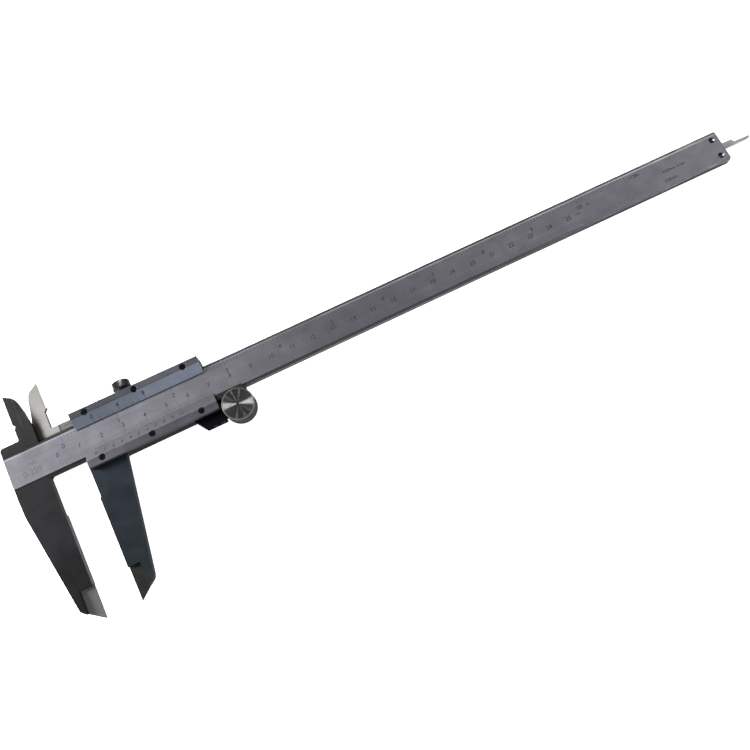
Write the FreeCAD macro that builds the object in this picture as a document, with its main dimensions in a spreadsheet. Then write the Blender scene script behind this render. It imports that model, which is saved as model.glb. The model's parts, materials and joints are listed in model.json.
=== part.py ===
import FreeCAD, Part
import math
import os
import Sketcher

# 250 mm vernier caliper with a thumb roller, lying on its back.
#
# Design frame of every body: X = 0 at the fixed outside measuring face, +X along the beam
# to its tail, Y = 0 on the beam's centre line, +Y towards the inside jaws, Z = 0 on the
# beam's front face, +Z towards the reader.  Each sub-part's Placement then moves it by
# -(frame_x, frame_y, frame_z), which puts the origin under the middle of the whole tool,
# on the plane that it lies on.  The slider stands at a reading of "reading" millimetres.

doc = FreeCAD.newDocument("vernier_caliper")
sheet = doc.addObject("Spreadsheet::Sheet", "Params")

CELLS = [
    # placement of the origin
    ("frame_x", 170.25, "middle of the tool along the beam"),
    ("frame_y", -19.05, "middle of the tool across the beam"),
    ("frame_z", -6.4, "plane the tool lies on"),
    ("reading", 15.7, "opening of the jaws as modelled"),
    # beam
    ("beam_half", 8.0, "half width of the beam"),
    ("beam_thick", 4.0, "thickness of the beam"),
    ("beam_left", 15.7, "head end of the beam, left of the measuring face"),
    ("beam_right", 340.6, "tail end of the beam"),
    ("bevel_w", 1.2, "width of the front edge bevels"),
    ("bevel_d", 0.6, "depth of the front edge bevels"),
    ("corner_c", 0.8, "chamfer of the lower tail corner"),
    ("groove_half", 1.8, "half width of the rear groove"),
    ("groove_deep", 1.7, "depth of the rear groove"),
    ("groove_x0", 42.0, "start of the rear groove"),
    ("jaw_front", 0.35, "front plane of the jaws, below the scale face"),
    ("split_front", 2.1, "rear plane of the fixed inside jaw"),
    ("split_rear", 2.3, "front plane of the moving inside jaw"),
    # fixed outside jaw
    ("jaw_tip_y", 72.1, "outside jaw tips below the centre line"),
    ("relief", 0.5, "relief of the outside faces next to the beam"),
    ("relief_y", 25.4, "end of that relief"),
    ("fix_bulge", 15.75, "widest point of the fixed jaw"),
    ("fix_out1_x", 15.0, "outer edge of the fixed jaw"),
    ("fix_out1_y", 22.3, "outer edge of the fixed jaw"),
    ("fix_out2_x", 8.45, "outer edge of the fixed jaw, low"),
    ("fix_out2_y", 65.4, "outer edge of the fixed jaw, low"),
    ("fix_tip_x", 7.1, "start of the tip bevel"),
    ("fix_tip_y", 66.8, "start of the tip bevel"),
    ("nib_y", 57.3, "start of the thin nibs"),
    ("fix_nib_w", 6.0, "width of the fixed nib"),
    ("mov_nib_w", 5.2, "width of the moving nib"),
    ("nib_front", 1.8, "nib ground back from the front"),
    ("nib_rear", 0.6, "nib ground back from the rear"),
    # fixed head and inside jaw
    ("head_top", 12.15, "top of the head"),
    ("head_corner", 1.0, "corner of the head"),
    ("ins_edge", 7.6, "inside measuring edge, left of the outside face"),
    ("ins_back", 6.9, "relieved edge of the inside jaw"),
    ("ins_notch", 6.1, "notch of the inside jaw"),
    ("ins_tip", 33.8, "tip of the fixed inside jaw"),
    ("ins_knife", 0.75, "width of the knife bevel"),
    # moving inside jaw, at the modelled reading
    ("mins_tip", 34.0, "tip of the moving inside jaw"),
    ("mins_relief", 1.25, "relief below its measuring edge"),
    ("ledge_top", 12.0, "top of the ledge that carries it"),
    # end stop
    ("stop_len", 9.0, "length of the end stop plate"),
    ("stop_half", 7.0, "half width of the end stop plate"),
    ("stop_screw_x", 3.7, "end stop screws from the tail end"),
    ("stop_screw_y", 4.3, "end stop screws from the centre line"),
    ("stop_screw_r", 0.95, "end stop screw shank"),
    ("stop_head_r", 1.3, "end stop screw head"),
    ("stop_head_len", 0.9, "end stop screw head height"),
    ("stop_sink", 1.1, "depth of the counterbore"),
    # slider
    ("sl_left", 17.0, "left end of the slider"),
    ("sl_right", 76.4, "right end of the slider"),
    ("sl_top", 12.8, "upper side of the slider"),
    ("sl_bot", 13.1, "lower side of the slider"),
    ("sl_gap", 0.08, "running clearance on the beam"),
    ("wall_top", 0.12, "top of the side walls above the scale face"),
    ("jaw_r_top", 33.9, "moving jaw, right edge at the slider"),
    ("jaw_r_mid", 32.0, "moving jaw, right edge below the root"),
    ("jaw_r_mid_y", 16.5, "moving jaw, right edge below the root"),
    ("jaw_r_low", 24.2, "moving jaw, right edge low"),
    ("jaw_r_low_y", 64.3, "moving jaw, right edge low"),
    ("jaw_r_tip", 23.5, "start of the tip bevel"),
    ("jaw_r_tip_y", 66.0, "start of the tip bevel"),
    ("root_fillet", 1.8, "fillet at the jaw's root"),
    ("gib_pocket", 9.1, "outer wall of the gib pocket"),
    ("gib_x0", 18.0, "start of the gib pocket"),
    ("gib_x1", 75.4, "end of the gib pocket"),
    ("gib_z0", 3.8, "floor of the gib pocket"),
    ("gib_thick", 0.83, "thickness of the gib"),
    # vernier plates
    ("plate_z", 3.0, "front face of the vernier plates"),
    ("plate_in", 5.35, "inner edge of the vernier plates"),
    ("plate_rail", 9.65, "inner edge of the flat rail"),
    ("plate_lip", 0.5, "height of the inner edge"),
    ("ps_x1", 23.7, "first plate screw"),
    ("ps_x2", 46.5, "second plate screw"),
    ("ps_x3", 69.2, "third plate screw"),
    ("ps_y", 10.75, "plate screws from the centre line"),
    ("ps_head_r", 1.3, "plate screw head radius"),
    ("ps_head_len", 1.4, "plate screw head height"),
    ("ps_shank_r", 0.8, "plate screw shank radius"),
    ("ps_shank_len", 4.8, "plate screw shank length"),
    ("ps_sink", 0.15, "plate screw head below the rail"),
    ("ps_bore", 1.45, "counterbore radius"),
    ("ps_hole", 0.85, "plate screw hole radius"),
    ("slot_w", 0.4, "screwdriver slot width"),
    ("slot_d", 0.5, "screwdriver slot depth"),
    # lock screw
    ("lock_x", 41.2, "lock screw along the slider"),
    ("lock_z", 2.0, "lock screw below the scale face"),
    ("lock_head_r", 4.0, "lock screw head radius"),
    ("lock_head_y0", 14.7, "underside of the head"),
    ("lock_head_y1", 18.0, "top of the head"),
    ("lock_neck_r", 3.5, "neck radius"),
    ("lock_neck_y", 13.2, "underside of the neck"),
    ("lock_shank_r", 1.5, "lock screw shank radius"),
    ("lock_tip_y", 10.35, "tip of the shank"),
    ("lock_cham", 0.35, "chamfer of the head"),
    ("pad_r", 1.4, "lock pad radius"),
    ("pad_y0", 9.3, "lock pad face"),
    ("pad_y1", 10.3, "lock pad back"),
    ("lock_bore", 1.55, "lock screw bore radius"),
    # gib set screws
    ("set_x1", 29.5, "first gib set screw"),
    ("set_x2", 59.0, "second gib set screw"),
    ("set_r", 1.0, "gib set screw radius"),
    ("set_bore", 1.05, "gib set screw bore"),
    ("set_len", 3.3, "gib set screw length"),
    # thumb roller
    ("rol_x", 84.5, "roller centre along the beam"),
    ("rol_y", 15.0, "roller centre below the centre line"),
    ("knob_r", 7.1, "thumb disc radius"),
    ("flange_r", 7.2, "rear flange radius"),
    ("hub_r", 6.92, "drive hub radius"),
    ("knob_z0", 1.15, "back of the thumb disc"),
    ("knob_z1", 4.2, "front of the thumb disc"),
    ("knob_dish", 0.3, "dish of the thumb disc"),
    ("rim_c", 0.25, "rim chamfer of the discs"),
    ("hub_z1", 1.1, "front of the drive hub, below the scale face"),
    ("flange_z1", 4.15, "front of the rear flange, below the scale face"),
    ("flange_z0", 6.2, "rear of the rear flange"),
    ("axle_r", 1.25, "roller axle radius"),
    ("axle_z1", 3.0, "front end of the axle"),
    ("axle_hold", 0.02, "bore allowance on the axle"),
    ("bush_r", 2.2, "bearing bush outer radius"),
    ("bush_in", 1.3, "bearing bush bore radius"),
    ("wash_r", 3.0, "washer radius"),
    ("wash_z0", 0.1, "washer, lower face"),
    ("wash_z1", 1.05, "washer, upper face"),
    # roller bracket
    ("br_left", 64.2, "left end of the bracket at the slider"),
    ("br_k1_x", 64.45, "bracket outline"),
    ("br_k1_y", 13.6, "bracket outline"),
    ("br_k2_x", 67.5, "bracket outline"),
    ("br_bot", 18.2, "bottom of the bracket"),
    ("br_right", 76.9, "right end of the block"),
    ("br_top", 13.15, "top of the block"),
    ("br_z0", 6.0, "rear of the block"),
    ("ch_z0", 0.9, "rear of the cheek"),
    ("ch_z1", 0.1, "front of the cheek"),
    ("ch_left", 76.55, "left edge of the cheek"),
    ("ch_top", 8.12, "top edge of the cheek"),
    ("ch_bot", 18.1, "bottom edge of the cheek"),
    ("ch_right", 90.3, "right edge of the cheek"),
    ("lip_top", 6.5, "top edge of the lip"),
    ("lip_right", 88.9, "right end of the lip"),
    ("lip_low", 9.2, "lower edge of the lip"),
    ("lip_z1", 0.9, "front of the lip"),
    ("bs_x1", 71.3, "first bracket screw"),
    ("bs_x2", 75.0, "second bracket screw"),
    ("bs_z", 3.2, "bracket screws below the scale face"),
    ("bs_r", 0.8, "bracket screw shank"),
    ("bs_hole", 0.85, "bracket screw hole"),
    ("bs_head_r", 1.25, "bracket screw head"),
    ("bs_bore", 1.35, "bracket counterbore radius"),
    ("bs_bore_d", 1.7, "bracket counterbore depth"),
    ("bs_head_len", 1.4, "bracket screw head height"),
    ("bs_len", 6.0, "bracket screw shank length"),
    ("bs_tap", 3.2, "depth of the tapped holes"),
    # depth rod
    ("rod_left", 62.0, "slider end of the depth rod"),
    ("rod_half", 1.65, "half width of the depth rod"),
    ("rod_z0", 3.85, "rear of the rod"),
    ("rod_z1", 2.45, "front of the rod"),
    ("rod_step", 9.0, "length of the stepped tip"),
    ("rod_tip_y", 0.1, "upper side of the stepped tip"),
    ("rod_cham", 1.2, "chamfer of the tip"),
    ("rod_foot", 13.5, "length of the riveted foot"),
    ("rivet_x1", 65.5, "first rivet"),
    ("rivet_x2", 71.5, "second rivet"),
    ("rivet_r", 0.95, "rivet radius"),
    ("rivet_hole", 1.0, "rivet hole radius"),
]

for n, (alias, value, note) in enumerate(CELLS):
    sheet.set("A%d" % (n + 1), note)
    sheet.set("B%d" % (n + 1), str(value))
    sheet.setAlias("B%d" % (n + 1), alias)
doc.recompute()


class Q:
    """A length with its value and the spreadsheet expression that gives it."""

    def __init__(self, v, s):
        self.v = float(v)
        self.s = s

    @staticmethod
    def of(o):
        return o if isinstance(o, Q) else Q(o, repr(float(o)))

    def __add__(self, o):
        o = Q.of(o)
        return Q(self.v + o.v, "(%s + %s)" % (self.s, o.s))

    def __sub__(self, o):
        o = Q.of(o)
        return Q(self.v - o.v, "(%s - %s)" % (self.s, o.s))

    def __radd__(self, o):
        return Q.of(o) + self

    def __rsub__(self, o):
        return Q.of(o) - self

    def __neg__(self):
        return Q(-self.v, "(0 - %s)" % self.s)

    def __mul__(self, k):
        return Q(self.v * k, "(%s * %r)" % (self.s, float(k)))


class Names:
    pass


P = Names()
for alias, value, note in CELLS:
    setattr(P, alias, Q(getattr(sheet, alias), "Params." + alias))

ZERO = Q(0.0, "0")
PARTS = []


def plane(body, role):
    for f in body.Origin.OriginFeatures:
        if f.Role == role:
            return f
    raise RuntimeError("no plane " + role)


def new_body(name):
    body = doc.addObject("PartDesign::Body", name)
    body.Label = name
    body.setExpression("Placement.Base.x", "0 - Params.frame_x")
    body.setExpression("Placement.Base.y", "0 - Params.frame_y")
    body.setExpression("Placement.Base.z", "0 - Params.frame_z")
    PARTS.append(body)
    return body


def new_sketch(body, name, role, offset=None):
    sk = body.newObject("Sketcher::SketchObject", name)
    sk.AttachmentSupport = [(plane(body, role), "")]
    sk.MapMode = "FlatFace"
    if offset is not None:
        sk.setExpression("AttachmentOffset.Base.z", offset.s)
    return sk


def pin_point(sk, geo, pos, x, y):
    """Hold a point at (x, y) with dimensions that follow the spreadsheet."""
    for kind, q, axis in (("DistanceX", x, -2), ("DistanceY", y, -1)):
        if abs(q.v) < 1e-9:
            sk.addConstraint(Sketcher.Constraint("PointOnObject", geo, pos, axis))
        elif q.v > 0:
            k = sk.addConstraint(Sketcher.Constraint(kind, -1, 1, geo, pos, q.v))
            sk.setExpression("Constraints[%d]" % k, q.s)
        else:
            k = sk.addConstraint(Sketcher.Constraint(kind, geo, pos, -1, 1, -q.v))
            sk.setExpression("Constraints[%d]" % k, (-q).s)


def polygon(sk, pts):
    pts = [(Q.of(a), Q.of(b)) for a, b in pts]
    first = None
    n = len(pts)
    ids = []
    for i in range(n):
        a, b = pts[i], pts[(i + 1) % n]
        ids.append(sk.addGeometry(Part.LineSegment(FreeCAD.Vector(a[0].v, a[1].v, 0),
                                                   FreeCAD.Vector(b[0].v, b[1].v, 0)), False))
    for i in range(n):
        sk.addConstraint(Sketcher.Constraint("Coincident", ids[i], 2, ids[(i + 1) % n], 1))
    for i in range(n):
        pin_point(sk, ids[i], 1, pts[i][0], pts[i][1])


def rect(sk, x0, x1, y0, y1):
    polygon(sk, [(x0, y0), (x1, y0), (x1, y1), (x0, y1)])


def circles(sk, items):
    for x, y, r in items:
        x, y, r = Q.of(x), Q.of(y), Q.of(r)
        g = sk.addGeometry(Part.Circle(FreeCAD.Vector(x.v, y.v, 0), FreeCAD.Vector(0, 0, 1), r.v), False)
        pin_point(sk, g, 3, x, y)
        k = sk.addConstraint(Sketcher.Constraint("Radius", g, r.v))
        sk.setExpression("Constraints[%d]" % k, r.s)


def pad(body, name, sk, length, reverse=False):
    f = body.newObject("PartDesign::Pad", name)
    f.Profile = sk
    f.Type = "Length"
    f.setExpression("Length", length.s)
    f.Reversed = reverse
    doc.recompute()
    return f


def pocket(body, name, sk, length, reverse=False):
    before = body.Shape.Volume
    f = body.newObject("PartDesign::Pocket", name)
    f.Profile = sk
    f.Type = "Length"
    f.setExpression("Length", length.s)
    f.Reversed = reverse
    doc.recompute()
    if not body.Shape.Volume < before - 1e-4:
        raise RuntimeError("pocket cuts nothing: " + name)
    return f


def revolve(body, name, sk, cut=False):
    f = body.newObject("PartDesign::Groove" if cut else "PartDesign::Revolution", name)
    f.Profile = sk
    f.ReferenceAxis = (sk, ["V_Axis"])
    f.Angle = 360
    doc.recompute()
    return f


# ------------------------------------------------------------------ beam with the fixed jaws
b = new_body("main_beam")
sk = new_sketch(b, "beam_section", "YZ_Plane", -P.beam_left)
h, t = P.beam_half, P.beam_thick
polygon(sk, [(-h, -t), (h, -t), (h, -P.bevel_d), (h - P.bevel_w, ZERO),
             (-(h - P.bevel_w), ZERO), (-h, -P.bevel_d)])
pad(b, "blade", sk, P.beam_right + P.beam_left)

sk = new_sketch(b, "fixed_jaw_outline", "XY_Plane", -P.beam_thick)
polygon(sk, [
    (-P.beam_left, -(P.beam_half - P.bevel_w)), (-P.fix_bulge, Q.of(-12.0)), (-(P.fix_bulge - 0.3), Q.of(-19.5)),
    (-P.fix_out1_x, -P.fix_out1_y), (-P.fix_out2_x, -P.fix_out2_y), (-P.fix_tip_x, -P.fix_tip_y),
    (ZERO, -P.jaw_tip_y), (ZERO, -(P.relief_y + 0.6)), (-P.relief, -P.relief_y),
    (-P.relief, -(P.beam_half + 0.9)), (-(P.relief - 0.9), -P.beam_half),
    (-(P.relief - 0.9), -(P.beam_half - P.bevel_w))])
pad(b, "fixed_jaw", sk, P.beam_thick - P.jaw_front)

sk = new_sketch(b, "head_outline", "XY_Plane", -P.split_front)
polygon(sk, [
    (-P.beam_left, P.beam_half - P.bevel_w), (Q.of(0.5), P.beam_half - P.bevel_w), (Q.of(0.5), Q.of(15.6)),
    (Q.of(-0.6), Q.of(23.2)), (Q.of(-1.65), Q.of(27.9)), (Q.of(-2.35), Q.of(29.9)), (Q.of(-3.4), Q.of(31.4)),
    (-P.ins_edge, P.ins_tip), (-P.ins_edge, Q.of(20.4)), (-P.ins_notch, Q.of(18.8)), (-P.ins_back, Q.of(17.3)),
    (-P.ins_back, P.head_top + 0.4), (-(P.ins_back + 0.4), P.head_top), (-(P.beam_left - P.head_corner), P.head_top),
    (-P.beam_left, P.head_top - P.head_corner)])
pad(b, "head_and_inside_jaw", sk, P.split_front - P.jaw_front)

# knife bevel on the fixed inside jaw, cut along Y
sk = new_sketch(b, "inside_knife", "XZ_Plane", Q.of(-34.5))
polygon(sk, [(-P.ins_edge, -P.split_front), (-(P.ins_edge - P.ins_knife), -(P.jaw_front - 0.05)),
             (-(P.ins_edge + 0.5), -(P.jaw_front - 0.05)), (-(P.ins_edge + 0.5), -P.split_front)])
f = b.newObject("PartDesign::Pocket", "inside_knife_cut")
f.Profile = sk
f.Type = "Length"
f.Length = 14.6
v0 = 1e9
f.Reversed = True
doc.recompute()

# nibs
sk = new_sketch(b, "nib_front_outline", "XY_Plane", -P.jaw_front)
rect(sk, -P.fix_nib_w, Q.of(0.6), -(P.jaw_tip_y + 1.0), -P.nib_y)
pocket(b, "nib_front_cut", sk, P.nib_front)
sk = new_sketch(b, "nib_rear_outline", "XY_Plane", -P.beam_thick)
rect(sk, -P.fix_nib_w, Q.of(0.6), -(P.jaw_tip_y + 1.0), -P.nib_y)
pocket(b, "nib_rear_cut", sk, P.nib_rear, True)

# groove for the depth rod, tail corner, end stop holes
sk = new_sketch(b, "groove_outline", "XY_Plane", -P.beam_thick)
rect(sk, P.groove_x0, P.beam_right + 1.0, -P.groove_half, P.groove_half)
pocket(b, "groove", sk, P.groove_deep, True)
sk = new_sketch(b, "corner_outline", "XY_Plane", ZERO + 0.1)
polygon(sk, [(P.beam_right - P.corner_c, -(P.beam_half + 0.01)), (P.beam_right + 0.01, -(P.beam_half + 0.01)),
             (P.beam_right + 0.01, -(P.beam_half - P.corner_c))])
pocket(b, "corner_cut", sk, P.beam_thick + 0.2)
sk = new_sketch(b, "stop_holes_outline", "XY_Plane", ZERO + 0.1)
circles(sk, [(P.beam_right - P.stop_screw_x, P.stop_screw_y, P.stop_screw_r + 0.05),
             (P.beam_right - P.stop_screw_x, -P.stop_screw_y, P.stop_screw_r + 0.05)])
pocket(b, "stop_holes", sk, P.beam_thick + 0.2)
sk = new_sketch(b, "stop_sinks_outline", "XY_Plane", ZERO + 0.1)
circles(sk, [(P.beam_right - P.stop_screw_x, P.stop_screw_y, P.stop_head_r + 0.1),
             (P.beam_right - P.stop_screw_x, -P.stop_screw_y, P.stop_head_r + 0.1)])
pocket(b, "stop_sinks", sk, P.stop_sink + 0.1)
main_beam = b

# ------------------------------------------------------------------ end stop plate
b = new_body("end_stop_plate")
sk = new_sketch(b, "stop_outline", "XY_Plane", P.frame_z)
x0, x1, hy, c = P.beam_right - P.stop_len, P.beam_right, P.stop_half, 1.0
polygon(sk, [(x0, -(hy - c)), (x0 + c, -hy), (x1 - c, -hy), (x1, -(hy - c)),
             (x1, hy - c), (x1 - c, hy), (x0 + c, hy), (x0, hy - c)])
pad(b, "stop_block", sk, -P.beam_thick - P.frame_z)
sk = new_sketch(b, "stop_plate_holes_outline", "XY_Plane", -P.beam_thick)
circles(sk, [(P.beam_right - P.stop_screw_x, P.stop_screw_y, P.stop_screw_r + 0.05),
             (P.beam_right - P.stop_screw_x, -P.stop_screw_y, P.stop_screw_r + 0.05)])
pocket(b, "stop_plate_holes", sk, P.stop_screw_r * 2.0)

# ------------------------------------------------------------------ slider with the moving jaws
b = new_body("slider_frame")
sk = new_sketch(b, "back_outline", "XY_Plane", P.frame_z)
rect(sk, P.sl_left, P.sl_right, -P.sl_bot, P.sl_top)
pad(b, "back", sk, -P.beam_thick - P.sl_gap - P.frame_z)
floor = -P.beam_thick - P.sl_gap
sk = new_sketch(b, "lower_wall_outline", "XY_Plane", floor)
rect(sk, P.sl_left, P.sl_right, -P.sl_bot, -(P.beam_half + P.sl_gap))
pad(b, "lower_wall", sk, P.wall_top - floor)
sk = new_sketch(b, "upper_wall_outline", "XY_Plane", floor)
rect(sk, P.sl_left, P.sl_right, P.beam_half + P.sl_gap, P.sl_top)
pad(b, "upper_wall", sk, P.wall_top - floor)

r = P.reading
sk = new_sketch(b, "moving_jaw_outline", "XY_Plane", -P.beam_thick)
polygon(sk, [
    (r + P.relief, -(P.beam_half + P.sl_gap)), (r + P.relief, -P.relief_y), (r, -(P.relief_y + 0.6)),
    (r, -P.jaw_tip_y), (P.jaw_r_tip, -P.jaw_r_tip_y), (P.jaw_r_low, -P.jaw_r_low_y),
    (P.jaw_r_mid, -P.jaw_r_mid_y), (P.jaw_r_mid + 0.55, -P.sl_bot), (P.jaw_r_mid + 0.55, -(P.beam_half + P.sl_gap))])
pad(b, "moving_jaw", sk, P.beam_thick - P.jaw_front)

e = r - P.ins_edge
sk = new_sketch(b, "moving_inside_outline", "XY_Plane", -P.beam_thick)
polygon(sk, [
    (P.sl_left + 0.5, P.beam_half + 0.12), (P.sl_left + 0.5, P.ledge_top), (e - P.mins_relief + 0.5, P.ledge_top),
    (e - P.mins_relief, P.ledge_top + 0.5), (e - P.mins_relief, Q.of(20.0)), (e, Q.of(21.4)), (e, P.mins_tip),
    (e - 4.7, Q.of(31.0)), (e - 5.35, Q.of(29.6)), (e - 6.0, Q.of(27.6)), (e - 6.75, Q.of(22.9)), (e - 7.35, Q.of(19.8)),
    (e - 8.05, Q.of(17.0)), (e - 8.6, Q.of(13.5)), (e - 8.6, P.beam_half + 0.12)])
pad(b, "moving_inside_jaw", sk, P.beam_thick - P.split_rear)

sk = new_sketch(b, "moving_knife", "XZ_Plane", Q.of(-34.5))
polygon(sk, [(e, -P.split_rear), (e + 0.5, -P.split_rear), (e + 0.5, -(P.beam_thick + 0.1)),
             (e - P.ins_knife, -(P.beam_thick + 0.1))])
f = b.newObject("PartDesign::Pocket", "moving_knife_cut")
f.Profile = sk
f.Type = "Length"
f.Length = 13.1
f.Reversed = True
doc.recompute()

sk = new_sketch(b, "mnib_front_outline", "XY_Plane", -P.jaw_front)
rect(sk, r - 0.6, r + P.mov_nib_w, -(P.jaw_tip_y + 1.0), -P.nib_y)
pocket(b, "mnib_front_cut", sk, P.nib_front)
sk = new_sketch(b, "mnib_rear_outline", "XY_Plane", -P.beam_thick)
rect(sk, r - 0.6, r + P.mov_nib_w, -(P.jaw_tip_y + 1.0), -P.nib_y)
pocket(b, "mnib_rear_cut", sk, P.nib_rear, True)

sk = new_sketch(b, "gib_pocket_outline", "XY_Plane", P.wall_top)
rect(sk, P.gib_x0, P.gib_x1, P.beam_half + P.sl_gap, P.gib_pocket)
pocket(b, "gib_pocket_cut", sk, P.wall_top + P.gib_z0)
sk = new_sketch(b, "plate_holes_outline", "XY_Plane", P.wall_top)
circles(sk, [(x, y, P.ps_hole) for x in (P.ps_x1, P.ps_x2, P.ps_x3) for y in (P.ps_y, -P.ps_y)])
pocket(b, "plate_holes", sk, P.ps_shank_len - 1.2)
sk = new_sketch(b, "rivet_holes_outline", "XY_Plane", floor)
circles(sk, [(P.rivet_x1, ZERO, P.rivet_hole), (P.rivet_x2, ZERO, P.rivet_hole)])
pocket(b, "rivet_holes", sk, floor - P.frame_z + 0.1)
# bores through the upper wall, along Y
sk = new_sketch(b, "lock_bore_outline", "XZ_Plane", -(P.sl_top + 0.1))
circles(sk, [(P.lock_x, -P.lock_z, P.lock_bore), (P.set_x1, -P.lock_z, P.set_bore), (P.set_x2, -P.lock_z, P.set_bore)])
pocket(b, "upper_bores", sk, P.sl_top - P.gib_pocket + 0.3, True)
# tapped holes for the bracket screws, from the lower side
sk = new_sketch(b, "bracket_taps_outline", "XZ_Plane", P.sl_bot)
circles(sk, [(P.bs_x1, -P.bs_z, P.bs_hole), (P.bs_x2, -P.bs_z, P.bs_hole)])
pocket(b, "bracket_taps", sk, P.bs_tap)
# rounded corner between the moving jaw and the slider's lower side
sk = new_sketch(b, "root_outline", "XY_Plane", -P.beam_thick)
fr = P.root_fillet
xc, yc = P.jaw_r_mid + 0.3 + fr, -(P.sl_bot + fr)
loop = [(xc, -P.sl_bot), (xc, -P.sl_bot + 0.3), (P.jaw_r_mid - 0.5, -P.sl_bot + 0.3),
        (P.jaw_r_mid - 0.5, yc), (xc - fr, yc)]
ids = []
for i in range(4):
    p0, p1 = loop[i], loop[i + 1]
    ids.append(sk.addGeometry(Part.LineSegment(FreeCAD.Vector(p0[0].v, p0[1].v, 0),
                                               FreeCAD.Vector(p1[0].v, p1[1].v, 0)), False))
arc = sk.addGeometry(Part.ArcOfCircle(Part.Circle(FreeCAD.Vector(xc.v, yc.v, 0), FreeCAD.Vector(0, 0, 1), fr.v),
                                      math.pi / 2, math.pi), False)
for i in range(3):
    sk.addConstraint(Sketcher.Constraint("Coincident", ids[i], 2, ids[i + 1], 1))
for i in range(4):
    pin_point(sk, ids[i], 1, loop[i][0], loop[i][1])
pin_point(sk, ids[3], 2, loop[4][0], loop[4][1])
sk.addConstraint(Sketcher.Constraint("Coincident", arc, 2, ids[3], 2))
sk.addConstraint(Sketcher.Constraint("Coincident", arc, 1, ids[0], 1))
k = sk.addConstraint(Sketcher.Constraint("Radius", arc, fr.v))
sk.setExpression("Constraints[%d]" % k, fr.s)
pad(b, "root_round", sk, P.beam_thick - P.jaw_front)


# ------------------------------------------------------------------ vernier plates
def vernier_plate(name, side):
    body = new_body(name)
    s = new_sketch(body, name + "_section", "YZ_Plane", P.sl_left)
    outer = P.sl_top if side > 0 else P.sl_bot
    pts = [(P.plate_in, P.wall_top), (outer, P.wall_top), (outer, P.plate_z),
           (P.plate_rail, P.plate_z), (P.plate_in, P.plate_lip)]
    if side < 0:
        pts = [(-a, z) for a, z in pts]
    polygon(s, pts)
    pad(body, name + "_bar", s, P.sl_right - P.sl_left)
    ys = P.ps_y if side > 0 else -P.ps_y
    s = new_sketch(body, name + "_bores", "XY_Plane", P.plate_z + 0.1)
    circles(s, [(x, ys, P.ps_bore) for x in (P.ps_x1, P.ps_x2, P.ps_x3)])
    pocket(body, name + "_counterbores", s, P.ps_head_len + P.ps_sink + 0.1)
    s = new_sketch(body, name + "_through", "XY_Plane", P.plate_z + 0.1)
    circles(s, [(x, ys, P.ps_hole) for x in (P.ps_x1, P.ps_x2, P.ps_x3)])
    pocket(body, name + "_holes", s, P.plate_z + 0.3)
    return body


vernier_plate("inch_vernier_plate", 1)
vernier_plate("mm_vernier_plate", -1)


# ------------------------------------------------------------------ screws
def screw_solid(tag, head_r, head_len, shank_r, shank_len, rot, x, y, z, slot=True):
    """A cheese-head screw: its head's top is at (x, y, z), its shank runs the other way.
    rot turns the local +Z, the side of the head, into the wanted direction."""
    head = doc.addObject("Part::Cylinder", tag + "_head")
    head.setExpression("Radius", head_r.s)
    head.setExpression("Height", head_len.s)
    head.setExpression("Placement.Base.z", (-head_len).s)
    shank = doc.addObject("Part::Cylinder", tag + "_shank")
    shank.setExpression("Radius", shank_r.s)
    shank.setExpression("Height", (shank_len + 0.2).s)
    shank.setExpression("Placement.Base.z", (-(head_len + shank_len)).s)
    fuse = doc.addObject("Part::MultiFuse", tag + "_blank")
    fuse.Shapes = [head, shank]
    slot_box = doc.addObject("Part::Box", tag + "_slot")
    slot_box.setExpression("Length", (head_r * 2.0 + 0.4).s)
    slot_box.setExpression("Width", P.slot_w.s)
    slot_box.setExpression("Height", (P.slot_d + 0.2).s)
    slot_box.setExpression("Placement.Base.x", (-(head_r + 0.2)).s)
    slot_box.setExpression("Placement.Base.y", (-(P.slot_w * 0.5)).s)
    slot_box.setExpression("Placement.Base.z", (-P.slot_d).s)
    cut = doc.addObject("Part::Cut", tag)
    cut.Base = fuse
    cut.Tool = slot_box
    cut.Placement = FreeCAD.Placement(FreeCAD.Vector(0, 0, 0), rot)
    cut.setExpression("Placement.Base.x", Q.of(x).s)
    cut.setExpression("Placement.Base.y", Q.of(y).s)
    cut.setExpression("Placement.Base.z", Q.of(z).s)
    return cut


def group(name, solids):
    comp = doc.addObject("Part::Compound", name)
    comp.Label = name
    comp.Links = solids
    comp.setExpression("Placement.Base.x", "0 - Params.frame_x")
    comp.setExpression("Placement.Base.y", "0 - Params.frame_y")
    comp.setExpression("Placement.Base.z", "0 - Params.frame_z")
    PARTS.append(comp)
    return comp


def turned(deg):
    return FreeCAD.Rotation(FreeCAD.Vector(0, 0, 1), deg)


def to_minus_y(deg):
    """Local +Z, the head's side, points along -Y."""
    return FreeCAD.Rotation(FreeCAD.Vector(1, 0, 0), 90).multiply(turned(deg))


def to_plus_y(deg):
    return FreeCAD.Rotation(FreeCAD.Vector(1, 0, 0), -90).multiply(turned(deg))


group("end_stop_screws", [
    screw_solid("stop_screw_%d" % i, P.stop_head_r, P.stop_head_len, P.stop_screw_r, Q.of(3.9), turned(a),
                P.beam_right - P.stop_screw_x, y, -(P.stop_sink - P.stop_head_len))
    for i, (y, a) in enumerate(((P.stop_screw_y, 35), (-P.stop_screw_y, 110)))])
group("inch_plate_screws", [
    screw_solid("inch_screw_%d" % i, P.ps_head_r, P.ps_head_len, P.ps_shank_r, P.ps_shank_len, turned(a),
                x, P.ps_y, P.plate_z - P.ps_sink)
    for i, (x, a) in enumerate(((P.ps_x1, 20), (P.ps_x2, 75), (P.ps_x3, 140)))])
group("mm_plate_screws", [
    screw_solid("mm_screw_%d" % i, P.ps_head_r, P.ps_head_len, P.ps_shank_r, P.ps_shank_len, turned(a),
                x, -P.ps_y, P.plate_z - P.ps_sink)
    for i, (x, a) in enumerate(((P.ps_x1, 60), (P.ps_x2, 165), (P.ps_x3, 100)))])
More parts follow.
